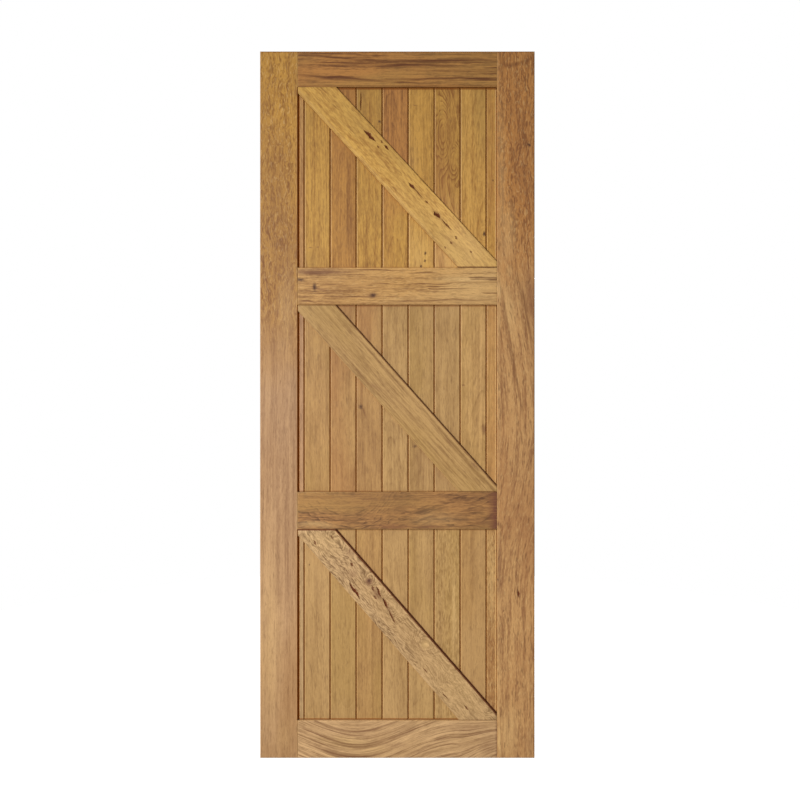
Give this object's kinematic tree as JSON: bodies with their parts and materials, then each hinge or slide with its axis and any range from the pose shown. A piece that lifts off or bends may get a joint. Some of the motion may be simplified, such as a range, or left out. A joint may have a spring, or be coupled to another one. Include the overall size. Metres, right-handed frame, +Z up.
{
  "type": "wooden door leaf",
  "caption": "Boarded timber door leaf: a mortised stile-and-rail frame with bays of vee-jointed tongued-and-grooved boards and a sloping brace in each bay.",
  "frame": {"origin": "middle of the leaf's bottom edge, half way through its thickness", "axes": "+Z up the leaf, +X across it to the hinge stile, -Y out of the braced face"},
  "size_m": [0.816, 0.04, 2.1],
  "materials": {
    "stile_timber": "oiled satin",
    "rail_timber": "oiled satin",
    "board_timber": "oiled satin",
    "brace_timber": "oiled satin",
    "wedge_timber": "oiled end grain",
    "brad_steel": "bright wire"
  },
  "bodies": {
    "root": {"bottom_board_1": "board_timber", "bottom_board_2": "board_timber", "bottom_board_3": "board_timber", "bottom_board_4": "board_timber", "bottom_board_5": "board_timber", "bottom_board_6": "board_timber", "bottom_board_7": "board_timber", "bottom_board_8": "board_timber", "bottom_board_9": "board_timber", "bottom_brace": "brace_timber", "bottom_rail": "rail_timber", "brace_brads": "brad_steel", "hinge_stile": "stile_timber", "lock_stile": "stile_timber", "lower_middle_rail": "rail_timber", "middle_board_1": "board_timber", "middle_board_2": "board_timber", "middle_board_3": "board_timber", "middle_board_4": "board_timber", "middle_board_5": "board_timber", "middle_board_6": "board_timber", "middle_board_7": "board_timber", "middle_board_8": "board_timber", "middle_board_9": "board_timber", "middle_brace": "brace_timber", "tenon_wedges": "wedge_timber", "top_board_1": "board_timber", "top_board_2": "board_timber", "top_board_3": "board_timber", "top_board_4": "board_timber", "top_board_5": "board_timber", "top_board_6": "board_timber", "top_board_7": "board_timber", "top_board_8": "board_timber", "top_board_9": "board_timber", "top_brace": "brace_timber", "top_rail": "rail_timber", "upper_middle_rail": "rail_timber"}
  },
  "joints": []
}
